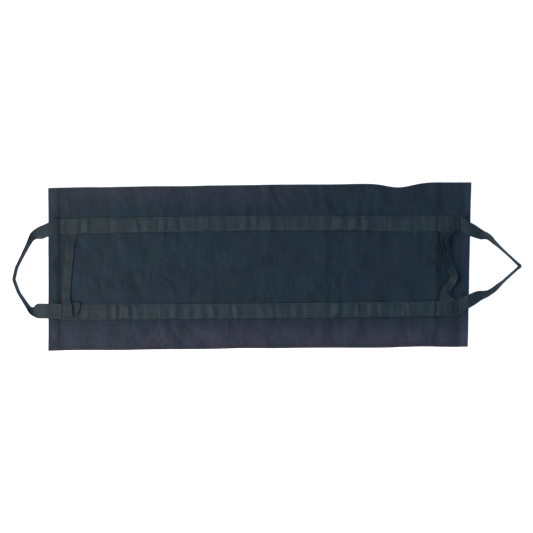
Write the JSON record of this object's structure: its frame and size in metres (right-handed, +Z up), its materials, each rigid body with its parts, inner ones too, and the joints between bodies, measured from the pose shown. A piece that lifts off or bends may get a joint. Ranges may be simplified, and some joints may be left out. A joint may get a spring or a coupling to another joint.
{
  "type": "rescue stretcher",
  "caption": "Soft rescue stretcher: hemmed cloth sheet with webbing straps along it, a drag loop past each end and a cross handle near each end; folds like an accordion.",
  "frame": {"origin": "centre of the sheet, on its underside", "axes": "+X along the length towards the foot end, +Y towards the left strap, +Z up off the sheet"},
  "size_m": [2.1539, 0.7, 0.0351],
  "materials": {
    "cloth": "matte",
    "webbing": "matte",
    "thread": "satin"
  },
  "bodies": {
    "panel_1": {"cloth_1": "cloth", "left_strap_1": "webbing", "right_strap_1": "webbing", "seam_thread_1": "thread", "head_loop_tails": "webbing", "head_handle_ends": "webbing"},
    "panel_2": {"cloth_2": "cloth", "left_strap_2": "webbing", "right_strap_2": "webbing", "seam_thread_2": "thread"},
    "panel_3": {"cloth_3": "cloth", "left_strap_3": "webbing", "right_strap_3": "webbing", "seam_thread_3": "thread"},
    "panel_4": {"cloth_4": "cloth", "left_strap_4": "webbing", "right_strap_4": "webbing", "seam_thread_4": "thread"},
    "panel_5": {"cloth_5": "cloth", "left_strap_5": "webbing", "right_strap_5": "webbing", "seam_thread_5": "thread"},
    "panel_6": {"cloth_6": "cloth", "left_strap_6": "webbing", "right_strap_6": "webbing", "seam_thread_6": "thread"},
    "panel_7": {"cloth_7": "cloth", "left_strap_7": "webbing", "right_strap_7": "webbing", "seam_thread_7": "thread"},
    "panel_8": {"cloth_8": "cloth", "left_strap_8": "webbing", "right_strap_8": "webbing", "seam_thread_8": "thread", "foot_loop_tails": "webbing", "foot_handle_ends": "webbing"},
    "head_loop": {"head_loop": "webbing"},
    "head_grip": {"head_grip": "webbing"},
    "foot_loop": {"foot_loop": "webbing"},
    "foot_grip": {"foot_grip": "webbing"}
  },
  "joints": [
    {"name": "fold_4", "type": "hinge", "parent": "panel_4", "child": "panel_5", "pos_m": [0.0535, 0, 0.009], "axis": [0, -1, 0], "range_deg": [0, 178]},
    {"name": "fold_3", "type": "hinge", "parent": "panel_4", "child": "panel_3", "pos_m": [-0.1815, 0, -0.009], "axis": [0, -1, 0], "range_deg": [0, 178]},
    {"name": "fold_2", "type": "hinge", "parent": "panel_3", "child": "panel_2", "pos_m": [-0.4165, 0, 0.009], "axis": [0, 1, 0], "range_deg": [0, 178]},
    {"name": "fold_1", "type": "hinge", "parent": "panel_2", "child": "panel_1", "pos_m": [-0.6515, 0, -0.009], "axis": [0, -1, 0], "range_deg": [0, 178]},
    {"name": "fold_5", "type": "hinge", "parent": "panel_5", "child": "panel_6", "pos_m": [0.2885, 0, -0.009], "axis": [0, 1, 0], "range_deg": [0, 178]},
    {"name": "fold_6", "type": "hinge", "parent": "panel_6", "child": "panel_7", "pos_m": [0.5235, 0, 0.009], "axis": [0, -1, 0], "range_deg": [0, 178]},
    {"name": "fold_7", "type": "hinge", "parent": "panel_7", "child": "panel_8", "pos_m": [0.7585, 0, -0.009], "axis": [0, 1, 0], "range_deg": [0, 178]},
    {"name": "head_loop_turn", "type": "hinge", "parent": "panel_1", "child": "head_loop", "pos_m": [-0.876, 0, 0.013], "axis": [0, -1, 0], "range_deg": [-168, 0]},
    {"name": "foot_loop_turn", "type": "hinge", "parent": "panel_8", "child": "foot_loop", "pos_m": [0.876, 0, 0.013], "axis": [0, 1, 0], "range_deg": [-168, 0]},
    {"name": "head_grip_lift", "type": "slide", "parent": "panel_1", "child": "head_grip", "axis": [0, 0, 1], "range_m": [0, 0.09]},
    {"name": "foot_grip_lift", "type": "slide", "parent": "panel_8", "child": "foot_grip", "axis": [0, 0, 1], "range_m": [0, 0.09]}
  ],
  "couplings": [
    {"joint": "fold_3", "follows": "fold_4", "ratio": 1},
    {"joint": "fold_2", "follows": "fold_4", "ratio": 1},
    {"joint": "fold_1", "follows": "fold_4", "ratio": 1},
    {"joint": "fold_5", "follows": "fold_4", "ratio": 1},
    {"joint": "fold_6", "follows": "fold_4", "ratio": 1},
    {"joint": "fold_7", "follows": "fold_4", "ratio": 1}
  ]
}
